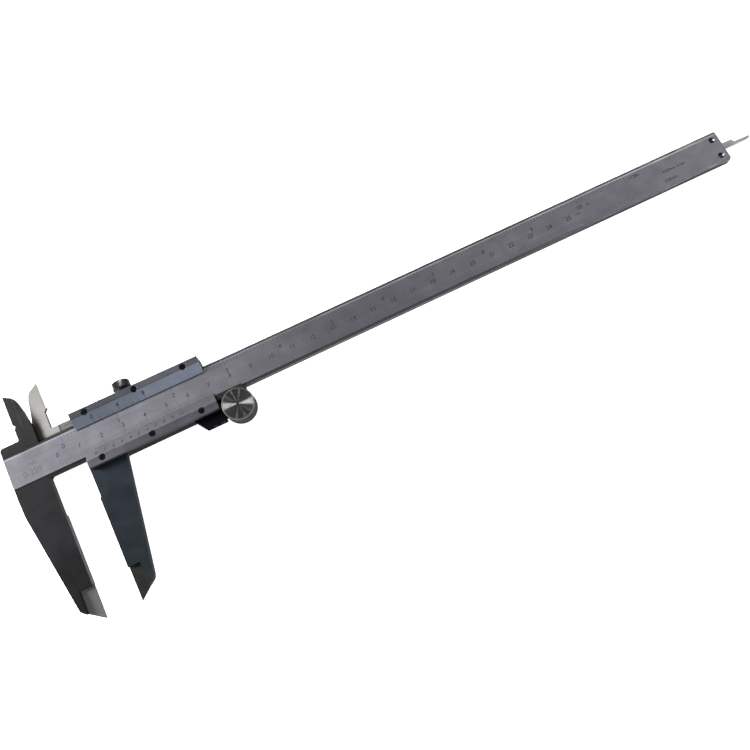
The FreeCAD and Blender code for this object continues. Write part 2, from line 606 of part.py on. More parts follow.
group("bracket_screws", [
    screw_solid("bracket_screw_%d" % i, P.bs_head_r, P.bs_head_len, P.bs_r, P.bs_len, to_minus_y(a),
                x, -(P.br_bot - 0.2), -P.bs_z)
    for i, (x, a) in enumerate(((P.bs_x1, 30), (P.bs_x2, 80)))])


# ------------------------------------------------------------------ gib, its set screws, lock screw
gib = doc.addObject("Part::Box", "gib_strip")
gib.Label = "gib_strip"
gib.setExpression("Length", (P.gib_x1 - P.gib_x0 - 0.6).s)
gib.setExpression("Width", P.gib_thick.s)
gib.setExpression("Height", (P.gib_z0 - 0.6).s)
gib.setExpression("Placement.Base.x", (P.gib_x0 + 0.3 - P.frame_x).s)
gib.setExpression("Placement.Base.y", (P.beam_half + 0.12 - P.frame_y).s)
gib.setExpression("Placement.Base.z", (-P.gib_z0 + 0.2 - P.frame_z).s)
PARTS.append(gib)


def set_screw(tag, x, deg):
    rod = doc.addObject("Part::Cylinder", tag + "_rod")
    rod.setExpression("Radius", P.set_r.s)
    rod.setExpression("Height", P.set_len.s)
    rod.setExpression("Placement.Base.z", (-P.set_len).s)
    slot_box = doc.addObject("Part::Box", tag + "_slot")
    slot_box.setExpression("Length", (P.set_r * 2.0 + 0.4).s)
    slot_box.setExpression("Width", P.slot_w.s)
    slot_box.setExpression("Height", (P.slot_d + 0.2).s)
    slot_box.setExpression("Placement.Base.x", (-(P.set_r + 0.2)).s)
    slot_box.setExpression("Placement.Base.y", (-(P.slot_w * 0.5)).s)
    slot_box.setExpression("Placement.Base.z", (-P.slot_d).s)
    cut = doc.addObject("Part::Cut", tag)
    cut.Base = rod
    cut.Tool = slot_box
    cut.Placement = FreeCAD.Placement(FreeCAD.Vector(0, 0, 0), to_plus_y(deg))
    cut.setExpression("Placement.Base.x", x.s)
    cut.setExpression("Placement.Base.y", (P.beam_half + 0.12 + P.gib_thick + 0.02 + P.set_len).s)
    cut.setExpression("Placement.Base.z", (-P.lock_z).s)
    return cut


group("gib_set_screws", [set_screw("gib_screw_0", P.set_x1, 25), set_screw("gib_screw_1", P.set_x2, 70)])


def turned_body(name, profile, axis):
    """A body turned about Z (axis "z") or Y (axis "y"), standing at its own place.
    profile is a list of (radius, height) points, height along the axis."""
    body = new_body(name)
    s = new_sketch(body, name + "_profile", "XZ_Plane" if axis == "z" else "XY_Plane")
    polygon(s, profile)
    revolve(body, name + "_turned", s)
    return body


# the lock screw and its pad are turned about their own axis and moved into place
lk = turned_body("lock_screw", [
    (ZERO, P.lock_tip_y), (P.lock_shank_r - 0.3, P.lock_tip_y), (P.lock_shank_r, P.lock_tip_y + 0.3),
    (P.lock_shank_r, P.lock_neck_y), (P.lock_neck_r, P.lock_neck_y), (P.lock_neck_r, P.lock_head_y0),
    (P.lock_head_r - 0.2, P.lock_head_y0), (P.lock_head_r, P.lock_head_y0 + 0.2),
    (P.lock_head_r, P.lock_head_y1 - P.lock_cham), (P.lock_head_r - P.lock_cham, P.lock_head_y1),
    (ZERO, P.lock_head_y1)], "y")
lk.setExpression("Placement.Base.x", "Params.lock_x - Params.frame_x")
lk.setExpression("Placement.Base.z", "0 - Params.lock_z - Params.frame_z")
pd = turned_body("lock_pad", [
    (ZERO, P.pad_y0), (P.pad_r - 0.2, P.pad_y0), (P.pad_r, P.pad_y0 + 0.2), (P.pad_r, P.pad_y1), (ZERO, P.pad_y1)], "y")
pd.setExpression("Placement.Base.x", "Params.lock_x - Params.frame_x")
pd.setExpression("Placement.Base.z", "0 - Params.lock_z - Params.frame_z")

# ------------------------------------------------------------------ thumb roller
bore = P.axle_r + P.axle_hold
c = P.rim_c


def at_roller(body):
    body.setExpression("Placement.Base.x", "Params.rol_x - Params.frame_x")
    body.setExpression("Placement.Base.y", "0 - Params.rol_y - Params.frame_y")


rb = turned_body("drive_roller", [
    (bore, -P.flange_z0), (P.flange_r - c, -P.flange_z0), (P.flange_r, -(P.flange_z0 - c)),
    (P.flange_r, -(P.flange_z1 + c)), (P.flange_r - c, -P.flange_z1), (P.hub_r, -P.flange_z1),
    (P.hub_r, -P.hub_z1), (bore, -P.hub_z1)], "z")
at_roller(rb)
kb = turned_body("thumb_disc", [
    (ZERO, P.axle_z1 + 0.02), (bore, P.axle_z1 + 0.02), (bore, P.knob_z0), (P.knob_r - c, P.knob_z0),
    (P.knob_r, P.knob_z0 + c), (P.knob_r, P.knob_z1 - c), (P.knob_r - c, P.knob_z1),
    (ZERO, P.knob_z1 - P.knob_dish)], "z")
at_roller(kb)
ax = turned_body("roller_axle", [
    (ZERO, -P.flange_z0), (P.axle_r, -P.flange_z0), (P.axle_r, P.axle_z1), (ZERO, P.axle_z1)], "z")
at_roller(ax)
bu = turned_body("roller_bush", [
    (P.bush_in, -(P.ch_z0 + 0.05)), (P.bush_r, -(P.ch_z0 + 0.05)), (P.bush_r, ZERO), (P.bush_in, ZERO)], "z")
at_roller(bu)
wa = turned_body("roller_washer", [
    (bore, P.wash_z0), (P.wash_r, P.wash_z0), (P.wash_r, P.wash_z1), (bore, P.wash_z1)], "z")
at_roller(wa)

# ------------------------------------------------------------------ roller bracket
b = new_body("roller_bracket")
sk = new_sketch(b, "block_outline", "XY_Plane", -P.br_z0)
polygon(sk, [(P.br_left, -P.br_top), (P.br_k1_x, -P.br_k1_y), (P.br_k2_x, -P.br_bot),
             (P.br_right, -P.br_bot), (P.br_right, -P.br_top)])
pad(b, "block", sk, P.br_z0 - P.ch_z1)
sk = new_sketch(b, "cheek_outline", "XY_Plane", -P.ch_z0)
polygon(sk, [(P.ch_left, -P.ch_bot), (P.rol_x + 1.5, -P.ch_bot), (P.ch_right - 1.2, -(P.ch_bot - 2.2)),
             (P.ch_right, -(P.ch_bot - 4.4)), (P.ch_right, -P.lip_low), (P.ch_right - 0.3, -P.ch_top),
             (P.ch_left, -P.ch_top)])
pad(b, "cheek", sk, P.ch_z0 - P.ch_z1)
sk = new_sketch(b, "bar_outline", "XY_Plane", -P.ch_z0)
polygon(sk, [(P.ch_left, -P.lip_low), (P.ch_right, -P.lip_low), (P.ch_right - 0.3, -P.ch_top), (P.ch_left, -P.ch_top)])
pad(b, "bar", sk, P.ch_z0 + P.lip_z1)
sk = new_sketch(b, "lip_outline", "XY_Plane", P.wall_top)
polygon(sk, [(P.ch_left, -P.lip_low), (P.ch_right, -P.lip_low), (P.lip_right, -P.lip_top), (P.ch_left, -P.lip_top)])
pad(b, "lip", sk, P.lip_z1 - P.wall_top)
sk = new_sketch(b, "bush_seat_outline", "XY_Plane", ZERO + 1.0)
circles(sk, [(P.rol_x, -P.rol_y, P.bush_r + 0.02)])
pocket(b, "bush_seat", sk, Q.of(2.4))
sk = new_sketch(b, "bracket_holes_outline", "XZ_Plane", P.br_bot + 0.1)
circles(sk, [(P.bs_x1, -P.bs_z, P.bs_hole), (P.bs_x2, -P.bs_z, P.bs_hole)])
pocket(b, "bracket_holes", sk, P.br_bot - P.br_top + 0.3)
sk = new_sketch(b, "bracket_bores_outline", "XZ_Plane", P.br_bot + 0.1)
circles(sk, [(P.bs_x1, -P.bs_z, P.bs_bore), (P.bs_x2, -P.bs_z, P.bs_bore)])
pocket(b, "bracket_bores", sk, P.bs_bore_d + 0.1)

# ------------------------------------------------------------------ depth rod and its rivets
b = new_body("depth_rod")
tip = P.beam_right + P.reading
sk = new_sketch(b, "rod_outline", "XY_Plane", -P.rod_z0)
polygon(sk, [(P.rod_left, -P.rod_half), (tip - P.rod_cham, -P.rod_half), (tip, -(P.rod_half - 0.8)),
             (tip, -P.rod_tip_y), (tip - P.rod_step + 1.0, -P.rod_tip_y + 0.25), (tip - P.rod_step, P.rod_half),
             (P.rod_left, P.rod_half)])
pad(b, "rod_bar", sk, P.rod_z0 - P.rod_z1)
sk = new_sketch(b, "foot_outline", "XY_Plane", floor)
rect(sk, P.rod_left, P.rod_left + P.rod_foot, -P.rod_half, P.rod_half)
pad(b, "rod_foot_pad", sk, P.rod_z0 * -1.0 - floor)
sk = new_sketch(b, "rod_holes_outline", "XY_Plane", -P.rod_z1 + 0.1)
circles(sk, [(P.rivet_x1, ZERO, P.rivet_hole), (P.rivet_x2, ZERO, P.rivet_hole)])
pocket(b, "rod_holes", sk, Q.of(2.0))


def rivet(tag, x):
    c1 = doc.addObject("Part::Cylinder", tag)
    c1.setExpression("Radius", P.rivet_r.s)
    c1.setExpression("Height", (-P.rod_z1 - P.frame_z).s)
    c1.setExpression("Placement.Base.x", x.s)
    c1.setExpression("Placement.Base.z", P.frame_z.s)
    return c1


group("depth_rod_rivets", [rivet("rivet_0", P.rivet_x1), rivet("rivet_1", P.rivet_x2)])

# ------------------------------------------------------------------ checks and export
doc.recompute()
for o in doc.Objects:
    if "Invalid" in o.State or "Error" in o.State:
        raise RuntimeError("object %s failed: %s" % (o.Name, o.State))
box = FreeCAD.BoundBox()
for o in PARTS:
    s = o.Shape
    if s.isNull() or not s.isValid():
        raise RuntimeError("bad shape " + o.Label)
    box.add(s.BoundBox)
    print("%-22s solids %d  volume %9.2f mm3" % (o.Label, len(s.Solids), s.Volume))
print("bounds", box)
if max(abs(box.XMin + box.XMax), abs(box.YMin + box.YMax), abs(box.ZMin)) > 0.05:
    raise RuntimeError("the origin is not under the middle of the tool")
os.makedirs("parts", exist_ok=True)
for o in PARTS:
    o.Shape.exportStep(os.path.join("parts", o.Label + ".step"))
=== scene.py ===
import json
import math

import bmesh
import bpy
from mathutils import Matrix, Vector

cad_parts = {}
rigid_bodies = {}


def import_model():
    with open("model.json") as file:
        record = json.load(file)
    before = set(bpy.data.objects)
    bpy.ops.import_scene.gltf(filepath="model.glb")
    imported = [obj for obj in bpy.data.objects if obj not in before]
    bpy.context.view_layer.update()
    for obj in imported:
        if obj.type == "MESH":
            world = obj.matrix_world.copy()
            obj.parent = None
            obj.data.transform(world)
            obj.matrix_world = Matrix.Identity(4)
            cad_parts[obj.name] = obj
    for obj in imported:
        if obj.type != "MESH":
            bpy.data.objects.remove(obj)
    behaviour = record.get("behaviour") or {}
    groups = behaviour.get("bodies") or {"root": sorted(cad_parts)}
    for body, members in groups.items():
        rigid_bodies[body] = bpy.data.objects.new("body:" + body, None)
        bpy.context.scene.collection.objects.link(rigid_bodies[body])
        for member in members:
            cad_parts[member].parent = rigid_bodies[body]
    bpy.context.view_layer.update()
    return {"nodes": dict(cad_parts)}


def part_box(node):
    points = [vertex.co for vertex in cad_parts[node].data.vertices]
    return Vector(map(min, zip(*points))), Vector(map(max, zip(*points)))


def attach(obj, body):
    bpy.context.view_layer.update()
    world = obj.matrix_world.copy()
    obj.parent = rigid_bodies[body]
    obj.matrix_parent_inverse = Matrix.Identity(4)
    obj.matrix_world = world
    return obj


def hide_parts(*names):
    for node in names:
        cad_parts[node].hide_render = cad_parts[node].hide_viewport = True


for _o in list(bpy.data.objects):
    bpy.data.objects.remove(_o, do_unlink=True)

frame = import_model()
NODES = frame["nodes"]

# ---------------------------------------------------------------- design frame
# Sizes below are millimetres in the tool's own frame: x from the fixed outside measuring
# face towards the tail, y from the beam's centre line towards the inside jaws, z from the
# beam's scale face towards the reader.  Its origin is found from the beam's own box.
MM = 0.001
_lo, _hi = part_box("main_beam")
OX, OY, OZ = _hi.x - 340.6 * MM, _lo.y + 72.1 * MM, _hi.z


def P(x, y, z):
    return Vector((OX + x * MM, OY + y * MM, OZ + z * MM))


def D(co):
    return (co[0] - OX) / MM, (co[1] - OY) / MM, (co[2] - OZ) / MM


# ---------------------------------------------------------------- materials
def lin(r, g=None, b=None):
    """An sRGB colour, 0 to 255, as a linear RGBA."""
    if g is None:
        g = b = r

    def one(c):
        c /= 255.0
        return c / 12.92 if c <= 0.04045 else ((c + 0.055) / 1.055) ** 2.4

    return (one(r), one(g), one(b), 1.0)


def shade(c, k):
    return (min(1.0, c[0] * k), min(1.0, c[1] * k), min(1.0, c[2] * k), 1.0)


class Mat:
    """A small helper that writes a node material in the tool's millimetre coordinates."""

    def __init__(self, name):
        self.mat = bpy.data.materials.new(name)
        self.mat.use_nodes = True
        self.t = self.mat.node_tree
        self.t.nodes.clear()
        self.out = self.t.nodes.new("ShaderNodeOutputMaterial")
        self.b = self.t.nodes.new("ShaderNodeBsdfPrincipled")
        self.t.links.new(self.b.outputs[0], self.out.inputs[0])
        tc = self.t.nodes.new("ShaderNodeTexCoord")
        mp = self.t.nodes.new("ShaderNodeMapping")
        mp.inputs["Location"].default_value = (-OX / MM, -OY / MM, -OZ / MM)
        mp.inputs["Scale"].default_value = (1 / MM, 1 / MM, 1 / MM)
        self.t.links.new(tc.outputs["Object"], mp.inputs["Vector"])
        self.co = mp.outputs[0]

    def put(self, socket, value):
        if isinstance(value, bpy.types.NodeSocket):
            self.t.links.new(value, socket)
        else:
            socket.default_value = value

    def set(self, **kw):
        for k, v in kw.items():
            self.put(self.b.inputs[k.replace("_", " ")], v)
        return self

    def noise(self, scale, detail=2.0, rough=0.5, seed=0.0, distort=0.0, turn=0.0):
        if not isinstance(scale, (tuple, list)):
            scale = (scale, scale, scale)
        co = self.co
        if turn:
            r = self.t.nodes.new("ShaderNodeMapping")
            r.inputs["Rotation"].default_value = (0, 0, math.radians(turn))
            self.t.links.new(co, r.inputs["Vector"])
            co = r.outputs[0]
        mp = self.t.nodes.new("ShaderNodeMapping")
        mp.inputs["Location"].default_value = (seed * 7.31, seed * 3.17, seed * 5.77)
        mp.inputs["Scale"].default_value = scale
        self.t.links.new(co, mp.inputs["Vector"])
        n = self.t.nodes.new("ShaderNodeTexNoise")
        n.inputs["Scale"].default_value = 1.0
        n.inputs["Detail"].default_value = detail
        n.inputs["Roughness"].default_value = rough
        n.inputs["Distortion"].default_value = distort
        self.t.links.new(mp.outputs[0], n.inputs["Vector"])
        return n.outputs[0]

    def span(self, fac, a, b, lo=0.0, hi=1.0, smooth=False):
        n = self.t.nodes.new("ShaderNodeMapRange")
        if smooth:
            n.interpolation_type = "SMOOTHSTEP"
        n.inputs["From Min"].default_value = a
        n.inputs["From Max"].default_value = b
        n.inputs["To Min"].default_value = lo
        n.inputs["To Max"].default_value = hi
        n.clamp = True
        self.put(n.inputs["Value"], fac)
        return n.outputs[0]

    def math(self, op, a, b=0.0):
        n = self.t.nodes.new("ShaderNodeMath")
        n.operation = op
        self.put(n.inputs[0], a)
        self.put(n.inputs[1], b)
        return n.outputs[0]

    def mix(self, fac, a, b, how="MIX"):
        n = self.t.nodes.new("ShaderNodeMix")
        n.data_type = "RGBA"
        n.blend_type = how
        n.clamp_factor = True
        self.put(n.inputs[0], fac)
        self.put(n.inputs[6], a)
        self.put(n.inputs[7], b)
        return n.outputs[2]

    def axis(self, which):
        n = self.t.nodes.new("ShaderNodeSeparateXYZ")
        self.t.links.new(self.co, n.inputs[0])
        return n.outputs["XYZ".index(which)]

    def bump(self, height, strength, depth_mm, normal=None):
        n = self.t.nodes.new("ShaderNodeBump")
        n.inputs["Strength"].default_value = strength
        n.inputs["Distance"].default_value = depth_mm * MM
        self.put(n.inputs["Height"], height)
        if normal is not None:
            self.t.links.new(normal, n.inputs["Normal"])
        return n.outputs[0]


def steel(name, colour, metallic=1.0, rough=(0.34, 0.48), grain="X", grain_mix=0.16, mottle=0.14,
          tint=None, scratches=0.25, bump=0.25, seed=0.0, extra=None, aniso=0.0, coat=None):
    """Ground or satin-plated steel: fine grain in one direction, soft cloudy patches, a few hairline
    scratches, all at the tool's own scale."""
    m = Mat(name)
    fine = {"X": (0.05, 9.0, 9.0), "Y": (9.0, 0.05, 9.0), "Z": (9.0, 9.0, 0.05), "O": (3.5, 3.5, 3.5)}[grain]
    mid = {"X": (0.02, 2.4, 2.4), "Y": (2.4, 0.02, 2.4), "Z": (2.4, 2.4, 0.02), "O": (0.9, 0.9, 0.9)}[grain]
    g1 = m.noise(fine, 3.0, 0.6, seed + 1)
    g2 = m.noise(mid, 2.0, 0.6, seed + 2)
    cloud = m.noise(0.11, 3.0, 0.55, seed + 3, 0.4)
    patch = m.noise(0.33, 2.0, 0.5, seed + 4)
    base = m.mix(m.span(cloud, 0.3, 0.7), shade(colour, 1 - mottle), shade(colour, 1 + mottle))
    if tint:
        base = m.mix(m.span(patch, 0.42, 0.68, 0.0, 0.55), base, tint)
    grain_fac = m.math("ADD", m.math("MULTIPLY", g1, 0.55), m.math("MULTIPLY", g2, 0.45))
    g = m.span(grain_fac, 0.32, 0.68, 1 - grain_mix, 1 + grain_mix)
    base = m.mix(1.0, base, g, "MULTIPLY")
    if scratches:
        s = None
        for i, (turn, sx, sy) in enumerate(((7.0, 0.035, 4.6), (-19.0, 0.05, 5.2), (63.0, 0.06, 4.2))):
            n = m.noise((sx, sy, 1.2), 1.0, 0.5, seed + 11 + i, 0.0, turn)
            line = m.span(n, 0.715, 0.76)
            s = line if s is None else m.math("MAXIMUM", s, line)
        base = m.mix(m.math("MULTIPLY", s, scratches), base, shade(colour, 1.55))
    if extra:
        base = extra(m, base)
    r = m.span(m.math("ADD", m.math("MULTIPLY", g2, 0.5), m.math("MULTIPLY", cloud, 0.5)), 0.34, 0.66, *rough)
    n = m.bump(grain_fac, bump, 0.012)
    n = m.bump(cloud, 0.12, 0.05, n)
    m.set(Base_Color=base, Roughness=r, Normal=n)
    m.b.inputs["Metallic"].default_value = metallic
    if aniso:
        m.b.inputs["Anisotropic"].default_value = aniso
    if coat:
        m.b.inputs["Coat Weight"].default_value = coat[0]
        m.b.inputs["Coat Roughness"].default_value = coat[1]
    return m.mat


def fade(m, base, which, a, b, lo, hi):
    """Darkens or lightens base along one axis, from lo at a to hi at b."""
    return m.mix(1.0, base, m.span(m.axis(which), a, b, lo, hi, True), "MULTIPLY")


def black_oxide(name, colour, rough=(0.38, 0.55), seed=0.0, worn=0.35, metallic=0.55, spec=0.5, extra=None, mottle=0.28):
    """Blackened steel: dark, faintly mottled, rubbed through to grey in small spots."""
    m = Mat(name)
    cloud = m.noise(0.16, 4.0, 0.6, seed + 1, 0.5)
    fine = m.noise(4.5, 3.0, 0.6, seed + 2)
    rub = m.noise(1.1, 4.0, 0.65, seed + 3, 0.8)
    base = m.mix(m.span(cloud, 0.3, 0.7), shade(colour, 1 - mottle), shade(colour, 1 + mottle))
    base = m.mix(m.span(fine, 0.35, 0.65, 0.0, 0.3), base, shade(colour, 1.5))
    base = m.mix(m.span(rub, 0.66, 0.74, 0.0, worn), base, lin(120, 120, 124))
    if extra:
        base = extra(m, base)
    r = m.span(m.math("ADD", m.math("MULTIPLY", cloud, 0.6), m.math("MULTIPLY", fine, 0.4)), 0.34, 0.66, *rough)
    n = m.bump(fine, 0.22, 0.02)
    m.set(Base_Color=base, Roughness=r, Normal=n)
    m.b.inputs["Metallic"].default_value = metallic
    m.b.inputs["Specular IOR Level"].default_value = spec
    return m.mat


def turned(name, colour, rough=0.34, aniso=0.9, seed=0.0, grain_mix=0.18, rot=0.25,
           streak=(0.34, 0.8, 0.8)):
    """Steel turned on a lathe about Z: concentric tool marks, so highlights fan out along the radius."""
    m = Mat(name)
    tan = m.t.nodes.new("ShaderNodeTangent")
    tan.direction_type = "RADIAL"
    tan.axis = "Z"
    x = m.math("SUBTRACT", m.axis("X"), RX)
    y = m.math("SUBTRACT", m.axis("Y"), RY)
    rad = m.math("SQRT", m.math("ADD", m.math("MULTIPLY", x, x), m.math("MULTIPLY", y, y)))
    comb = m.t.nodes.new("ShaderNodeCombineXYZ")
    m.t.links.new(rad, comb.inputs[0])
    m.t.links.new(m.axis("Z"), comb.inputs[1])
    ring = m.t.nodes.new("ShaderNodeTexNoise")
    ring.inputs["Scale"].default_value = 5.5
    ring.inputs["Detail"].default_value = 3.0
    m.t.links.new(comb.outputs[0], ring.inputs["Vector"])
    cloud = m.noise(0.5, 3.0, 0.6, seed + 2)
    base = m.mix(m.span(ring.outputs[0], 0.3, 0.7), shade(colour, 1 - grain_mix), shade(colour, 1 + grain_mix))
    base = m.mix(m.span(cloud, 0.3, 0.7, 0.0, 0.25), base, shade(colour, 0.7))
    # Painted shade: darker at the centre, over the centre hole.
    base = m.mix(m.span(rad, 0.25, 0.6, 0.75, 0.0), base, lin(20, 20, 20))
    n = m.bump(ring.outputs[0], 0.25, 0.008)
    m.set(Base_Color=base, Normal=n)
    m.t.links.new(tan.outputs[0], m.b.inputs["Tangent"])
    m.set(Roughness=m.span(cloud, 0.3, 0.7, rough - 0.03, rough + 0.05))
    m.b.inputs["Metallic"].default_value = 1.0
    m.b.inputs["Anisotropic"].default_value = aniso
    m.b.inputs["Anisotropic Rotation"].default_value = rot
    gl = m.t.nodes.new("ShaderNodeBsdfAnisotropic")
    m.t.links.new(base, gl.inputs["Color"])
    gl.inputs["Roughness"].default_value = streak[0]
    gl.inputs["Anisotropy"].default_value = streak[1]
    m.t.links.new(n, gl.inputs["Normal"])
    m.t.links.new(tan.outputs[0], gl.inputs["Tangent"])
    mx = m.t.nodes.new("ShaderNodeMixShader")
    mx.inputs[0].default_value = streak[2]
    m.t.links.new(m.b.outputs[0], mx.inputs[1])
    m.t.links.new(gl.outputs[0], mx.inputs[2])
    m.t.links.new(mx.outputs[0], m.out.inputs[0])
    return m.mat


def ink(name, colour, seed=0.0):
    """Black filling of the engraved lines, a little worn."""
    m = Mat(name)
    a = m.noise(1.3, 3.0, 0.6, seed)
    b = m.noise(7.0, 2.0, 0.6, seed + 5)
    base = m.mix(m.span(a, 0.35, 0.7), colour, shade(colour, 2.2))
    base = m.mix(m.span(b, 0.5, 0.7, 0.0, 0.4), base, shade(colour, 3.0))
    m.set(Base_Color=base, Roughness=m.span(b, 0.3, 0.7, 0.45, 0.7), Normal=m.bump(b, 0.3, 0.01))
    return m.mat


RX, RY = 84.5, -15.0  # the thumb roller's centre
STRIP = lin(150, 150, 155)


def wall(name, colour, seed, extra=None, metallic=0.0, spec=0.02, rough=(0.5, 0.66), worn=0.06):
    """Dark, dull side of a blackened or unpolished piece; partly painted shade, as it also gives side faces and ground
    measuring faces a darker, duller copy of their piece's finish.
    """
    return black_oxide(name, colour, rough=rough, seed=seed, worn=worn, metallic=metallic, spec=spec, extra=extra, mottle=0.2)


def worn_strip(m, base):
    """The face is darker towards the jaws, with a painted highlight along its upper border."""
    y = m.axis("Y")
    x = m.axis("X")
    base = m.mix(1.0, base, m.span(x, -15.0, 260.0, 0.64, 1.03), "MULTIPLY")
    base = fade(m, base, "X", 30.0, 150.0, 0.95, 0.82)
    base = fade(m, base, "X", 170.0, 250.0, 1.0, 1.19)
    base = fade(m, base, "X", -6.0, 30.0, 0.85, 1.0)
    base = fade(m, base, "X", 105.0, 135.0, 1.0, 0.84)
    base = fade(m, base, "X", 140.0, 190.0, 1.0, 1.2)
    base = fade(m, base, "X", 270.0, 315.0, 1.0, 1.08)
    # Painted highlight: a near-white line along the face's upper border, stronger towards the tail.
    painted_edge_highlight = m.math("MULTIPLY", m.span(y, 6.0, 6.2), m.span(x, 90.0, 300.0, 0.2, 1.0))
    n = m.noise((0.05, 3.0, 3.0), 3.0, 0.6, 71)
    painted_edge_highlight = m.math("MULTIPLY", painted_edge_highlight, m.span(n, 0.35, 0.6))
    return m.mix(m.math("MULTIPLY", painted_edge_highlight, 0.95), base, lin(246, 246, 247))


def bevel_tone(m, base):
    # Painted shade on the beam's bevels: dark between the jaws, where they shade it, and darker on the upper bevel than
    # the lower; a painted highlight brightens them towards the tail, with lighter rubbed patches there.
    base = fade(m, base, "X", 15.0, 26.0, 0.35, 1.0)
    base = fade(m, base, "Y", -6.0, 6.0, 0.75, 0.28)
    base = fade(m, base, "X", 200.0, 310.0, 1.0, 2.6)
    n = m.noise((0.1, 2.0, 2.0), 3.0, 0.65, 78)
    return m.mix(m.math("MULTIPLY", m.span(n, 0.52, 0.7), m.span(m.axis("X"), 230.0, 320.0, 0.0, 0.6)), base, lin(170, 170, 172))


def side_tone(m, base):
    """The beam's side: painted shade makes it nearly black between the jaws and darker towards its bottom edge as a
    painted contact shadow; it also darkens towards the tail, with rubbed patches.
    """
    base = fade(m, base, "X", 15.0, 26.0, 0.25, 1.0)
    base = fade(m, base, "X", 180.0, 300.0, 1.0, 0.3)
    base = fade(m, base, "Z", -2.4, -3.9, 1.0, 0.4)
    n = m.noise((0.12, 1.2, 1.2), 3.0, 0.6, 77)
    return m.mix(m.math("MULTIPLY", m.span(n, 0.55, 0.75), m.span(m.axis("X"), 260.0, 320.0, 0.0, 0.5)), base, lin(120, 120, 122))


def inside_tone(m, base):
    # Painted shade: the fixed inside jaw darkens towards its root, where it meets the beam.
    base = fade(m, base, "Y", 15.0, 10.5, 1.0, 0.8)
    base = fade(m, base, "Y", 10.0, 8.4, 1.0, 0.75)
    # Painted highlight: a faint light line along the knife bevel's facet.
    x = m.axis("X")
    n = m.noise((1.2, 0.12, 1.2), 3.0, 0.6, 73)
    line = m.math("MULTIPLY", m.span(m.math("ABSOLUTE", m.math("ADD", x, 3.4)), 0.0, 0.45, 1.0, 0.0), m.span(n, 0.4, 0.65))
    line = m.math("MULTIPLY", line, m.span(m.axis("Y"), 14.0, 19.0))
    return m.mix(m.math("MULTIPLY", line, 0.25), base, lin(110, 110, 110))


def bright_tone(m, base):
    """The moving inside jaw: bright above, with a painted dark reflection of the fixed jaw at its lower left, the
    scraped ledge to the right of a dark vertical line, and a painted shadow along the ledge's foot where it meets the
    beam."""
    x, y = m.axis("X"), m.axis("Y")
    base = fade(m, base, "Y", 32.0, 12.0, 0.79, 0.95)
    n = m.noise(0.9, 3.0, 0.6, 74, 0.4)
    wob = m.math("ADD", x, m.span(n, 0.2, 0.8, -0.6, 0.6))
    # Painted reflection: a dark brown patch at the lower left, next to the fixed jaw.
    low = m.math("MULTIPLY", m.span(y, 23.0, 15.0, 0.0, 1.0, True), m.span(wob, 4.6, 1.6, 0.0, 1.0, True))
    base = m.mix(m.math("MULTIPLY", low, 0.93), base, lin(44, 38, 35))
    scr = m.noise((0.5, 1.6, 1.0), 4.0, 0.7, 75, 0.6)
    ledge = m.mix(m.span(scr, 0.35, 0.65), lin(76, 72, 74), lin(118, 114, 116))
    base = m.mix(m.span(x, 10.35, 10.5), base, ledge)
    line = m.span(m.math("ABSOLUTE", m.math("SUBTRACT", x, 10.35)), 0.08, 0.38, 0.95, 0.0)
    base = m.mix(line, base, lin(20, 18, 18))
    # Painted shadow at the foot of the ledge, where it meets the beam.
    return m.mix(m.span(y, 9.5, 8.7, 0.0, 0.9, True), base, lin(34, 31, 30))


